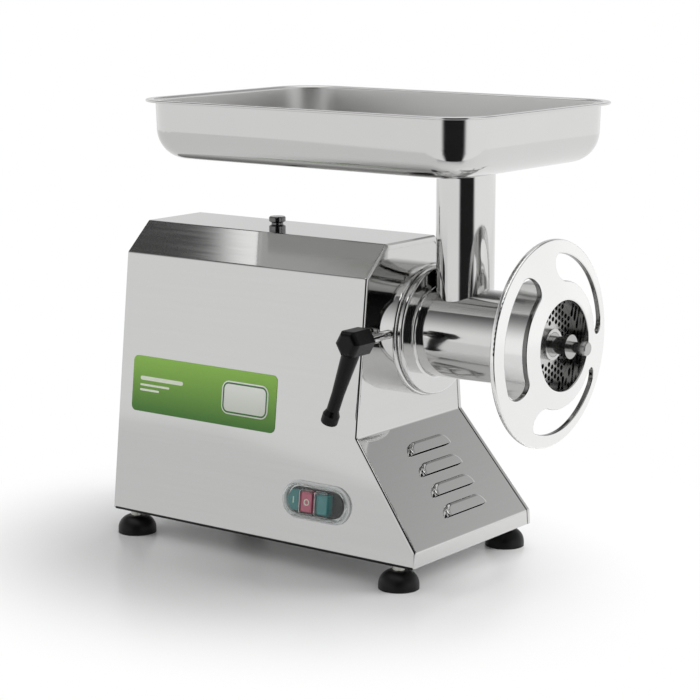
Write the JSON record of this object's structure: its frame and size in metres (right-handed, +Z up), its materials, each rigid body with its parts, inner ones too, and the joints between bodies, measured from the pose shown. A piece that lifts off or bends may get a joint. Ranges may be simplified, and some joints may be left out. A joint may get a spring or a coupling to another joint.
{
  "type": "electric meat grinder",
  "caption": "Electric meat grinder with a folded stainless casing, hopper tray, geared worm drive, lever-clamped barrel and dished ring wheel.",
  "frame": {"origin": "middle of the whole part on the table under its feet", "axes": "+X along the grinding axis towards the outlet, +Z up, switch on the -Y side"},
  "size_m": [0.5304, 0.2834, 0.458],
  "materials": {
    "stainless_sheet": "satin",
    "polished_stainless": "polished",
    "plated_steel": "bright",
    "black_rubber": "matte",
    "black_plastic": "satin",
    "grey_plastic": "satin",
    "green_label": "gloss",
    "white_label": "gloss",
    "clear_silicone": "clear",
    "green_button": "gloss",
    "red_button": "gloss",
    "cast_aluminium": "as cast",
    "gear_steel": "machined",
    "laminated_iron": "varnished",
    "copper_winding": "varnished",
    "bronze": "machined",
    "painted_motor": "satin"
  },
  "bodies": {
    "casing": {"casing_wrap": "stainless_sheet", "front_panel": "stainless_sheet", "rear_panel": "stainless_sheet", "base_plate": "stainless_sheet", "rubber_feet": "black_rubber", "foot_studs": "plated_steel", "foot_nuts": "plated_steel", "rear_panel_screws": "plated_steel", "cable_gland": "black_plastic", "gland_nut": "black_plastic", "top_peg": "polished_stainless", "peg_nut": "plated_steel", "side_label": "green_label", "label_badge": "white_label", "switch_bezel": "grey_plastic", "switch_boot": "clear_silicone", "switch_body": "black_plastic", "gearbox_housing": "cast_aluminium", "gearbox_cover": "cast_aluminium", "cover_bolts": "plated_steel", "gearbox_bracket": "plated_steel", "motor_frame": "painted_motor", "stator_core": "laminated_iron", "stator_windings": "copper_winding", "motor_end_shield": "cast_aluminium", "motor_front_bearing": "gear_steel", "motor_rear_bearing": "gear_steel", "layshaft_rear_bearing": "gear_steel", "layshaft_front_bearing": "gear_steel", "output_rear_bearing": "gear_steel", "output_front_bearing": "gear_steel", "shaft_seal": "black_rubber", "capacitor": "cast_aluminium", "contactor": "black_plastic", "head_collar": "polished_stainless", "collar_bolts": "plated_steel"},
    "rotor": {"rotor_shaft": "gear_steel", "rotor_core": "laminated_iron", "motor_pinion": "gear_steel", "cooling_fan": "black_plastic"},
    "intermediate": {"layshaft": "gear_steel", "layshaft_gear": "gear_steel"},
    "output": {"drive_hub": "gear_steel", "output_gear": "gear_steel"},
    "head": {"barrel": "polished_stainless", "worm_bush": "bronze", "plate_key": "gear_steel"},
    "worm": {"feed_worm": "polished_stainless", "worm_pin": "polished_stainless", "cross_knife": "polished_stainless"},
    "plate": {"grinding_plate": "polished_stainless"},
    "wheel": {"ring_wheel": "polished_stainless"},
    "tray": {"hopper_tray": "stainless_sheet"},
    "clamp": {"clamp_lever": "black_plastic", "clamp_screw": "plated_steel"},
    "start": {"start_button": "green_button"},
    "stop": {"stop_button": "red_button"},
    "reverse": {"reverse_button": "green_button"}
  },
  "joints": [
    {"name": "rotor_spin", "type": "hinge", "parent": "casing", "child": "rotor", "pos_m": [-0.0765, 0, 0.1359], "axis": [1, 0, 0], "continuous": true},
    {"name": "layshaft_spin", "type": "hinge", "parent": "casing", "child": "intermediate", "pos_m": [0.0148, 0, 0.1824], "axis": [1, 0, 0], "continuous": true},
    {"name": "output_spin", "type": "hinge", "parent": "casing", "child": "output", "pos_m": [0.0298, 0, 0.2364], "axis": [1, 0, 0], "continuous": true},
    {"name": "head_slide", "type": "slide", "parent": "casing", "child": "head", "axis": [1, 0, 0], "range_m": [0, 0.16]},
    {"name": "worm_spin", "type": "hinge", "parent": "head", "child": "worm", "pos_m": [0.1448, 0, 0.2364], "axis": [1, 0, 0], "continuous": true},
    {"name": "plate_draw", "type": "slide", "parent": "head", "child": "plate", "axis": [1, 0, 0], "range_m": [0, 0.021]},
    {"name": "wheel_turn", "type": "hinge", "parent": "plate", "child": "wheel", "pos_m": [0.2248, 0, 0.2364], "axis": [1, 0, 0], "range_deg": [0, 1440]},
    {"name": "tray_lift", "type": "slide", "parent": "head", "child": "tray", "axis": [0, 0, 1], "range_m": [0, 0.06]},
    {"name": "clamp_turn", "type": "hinge", "parent": "casing", "child": "clamp", "pos_m": [0.0818, -0.11, 0.24], "axis": [0, -1, 0], "range_deg": [0, 180]},
    {"name": "start_press", "type": "slide", "parent": "casing", "child": "start", "axis": [0, 0.994, -0.109], "range_m": [0, 0.003], "stiffness_N_per_m": 400, "springref_m": -0.003},
    {"name": "stop_press", "type": "slide", "parent": "casing", "child": "stop", "axis": [0, 0.994, -0.109], "range_m": [0, 0.003], "stiffness_N_per_m": 400, "springref_m": -0.003},
    {"name": "reverse_press", "type": "slide", "parent": "casing", "child": "reverse", "axis": [0, 0.994, -0.109], "range_m": [0, 0.003], "stiffness_N_per_m": 400, "springref_m": -0.003}
  ],
  "couplings": [
    {"joint": "layshaft_spin", "follows": "rotor_spin", "ratio": -0.29167},
    {"joint": "output_spin", "follows": "rotor_spin", "ratio": 0.10208},
    {"joint": "worm_spin", "follows": "rotor_spin", "ratio": 0.10208},
    {"joint": "plate_draw", "follows": "wheel_turn", "m_per_rad": 0.00079577}
  ]
}
